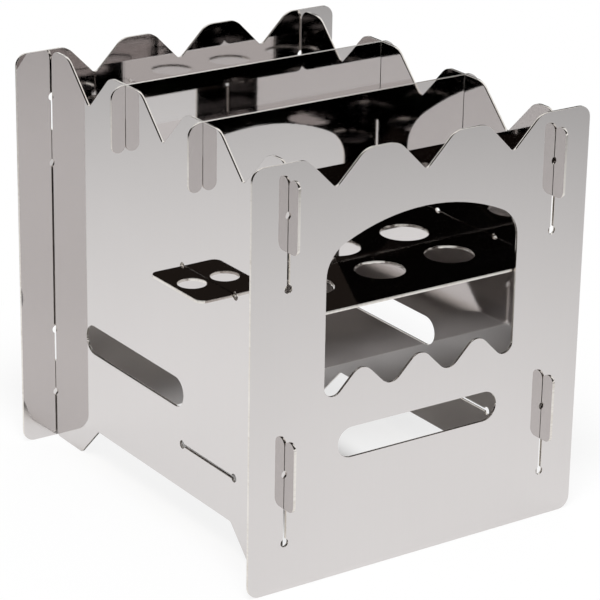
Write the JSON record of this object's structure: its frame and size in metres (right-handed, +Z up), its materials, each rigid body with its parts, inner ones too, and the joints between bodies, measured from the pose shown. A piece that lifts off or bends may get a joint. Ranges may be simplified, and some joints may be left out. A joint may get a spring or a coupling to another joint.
{
  "type": "twig stove",
  "caption": "Flat-pack stainless twig stove: toothed panels and walls that hook together, a perforated grate, cross pot supports, an arched feed window and air slots.",
  "frame": {"origin": "on the ground, midway between the side walls and midway between the front and back panels", "axes": "+Z up, +X from the left wall to the right wall, -Y towards the front panel with the feed window"},
  "size_m": [0.137, 0.1644, 0.15],
  "materials": {
    "polished_steel": "bright annealed, near mirror",
    "grate_steel": "bright annealed, near mirror"
  },
  "bodies": {
    "back_panel": {"back_panel": "polished_steel"},
    "front_panel": {"front_panel": "polished_steel"},
    "left_wall": {"left_wall": "polished_steel"},
    "right_wall": {"right_wall": "polished_steel"},
    "grate": {"grate": "grate_steel"},
    "rear_support": {"rear_support": "polished_steel"},
    "front_support": {"front_support": "polished_steel"}
  },
  "joints": [
    {"name": "left_wall_lift", "type": "slide", "parent": "back_panel", "child": "left_wall", "axis": [0, 0, 1], "range_m": [0, 0.0138]},
    {"name": "right_wall_lift", "type": "slide", "parent": "back_panel", "child": "right_wall", "axis": [0, 0, 1], "range_m": [0, 0.0138]},
    {"name": "front_panel_lift", "type": "slide", "parent": "left_wall", "child": "front_panel", "axis": [0, 0, 1], "range_m": [0, 0.0138]},
    {"name": "rear_support_lift", "type": "slide", "parent": "left_wall", "child": "rear_support", "axis": [0, 0, 1], "range_m": [0, 0.03]},
    {"name": "front_support_lift", "type": "slide", "parent": "left_wall", "child": "front_support", "axis": [0, 0, 1], "range_m": [0, 0.03]},
    {"name": "grate_play", "type": "slide", "parent": "left_wall", "child": "grate", "axis": [0, 1, 0], "range_m": [-0.0004, 0.0004]}
  ],
  "couplings": [
    {"joint": "right_wall_lift", "follows": "left_wall_lift", "ratio": 1}
  ]
}
